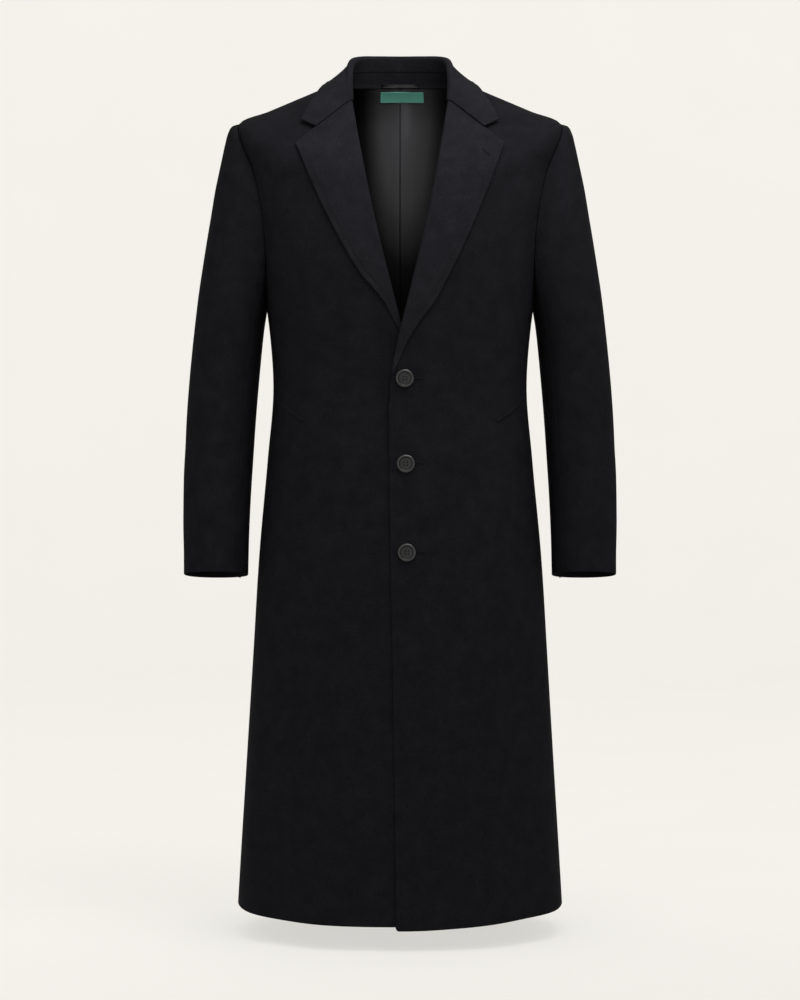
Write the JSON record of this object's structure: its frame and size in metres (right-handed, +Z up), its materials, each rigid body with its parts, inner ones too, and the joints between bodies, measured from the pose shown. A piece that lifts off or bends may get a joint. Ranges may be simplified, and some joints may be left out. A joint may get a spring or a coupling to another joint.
{
  "type": "topcoat",
  "caption": "Long single-breasted wool topcoat with notch lapels, slanted welt pockets and set-in sleeves, buttoned and filled out as worn, open at neck, cuffs and hem.",
  "frame": {"origin": "On the centre line at x = 0, y = 0, level with the points where neck and shoulder meet: the place that rests on the wearer's shoulders at the base of the neck.", "axes": "+Z up along the coat, the front faces -Y, +X is the wearer's left."},
  "size_m": [0.6222, 0.392, 1.2474],
  "materials": {
    "wool_cloth": "matte napped wool",
    "lining": "satin",
    "button": "satin",
    "label": "plain woven",
    "loop_tape": "woven tape"
  },
  "bodies": {
    "root": {"front_left": "wool_cloth", "front_right": "wool_cloth", "back_left": "wool_cloth", "back_right": "wool_cloth", "sleeve_top_left": "wool_cloth", "sleeve_top_right": "wool_cloth", "sleeve_under_left": "wool_cloth", "sleeve_under_right": "wool_cloth", "lapel_left": "wool_cloth", "lapel_right": "wool_cloth", "collar_fall": "wool_cloth", "collar_stand": "wool_cloth", "pocket_welt_left": "wool_cloth", "pocket_welt_right": "wool_cloth", "button_1": "button", "button_2": "button", "button_3": "button", "back_lining_left": "lining", "back_lining_right": "lining", "neck_label": "label", "hanger_loop": "loop_tape"}
  },
  "joints": []
}
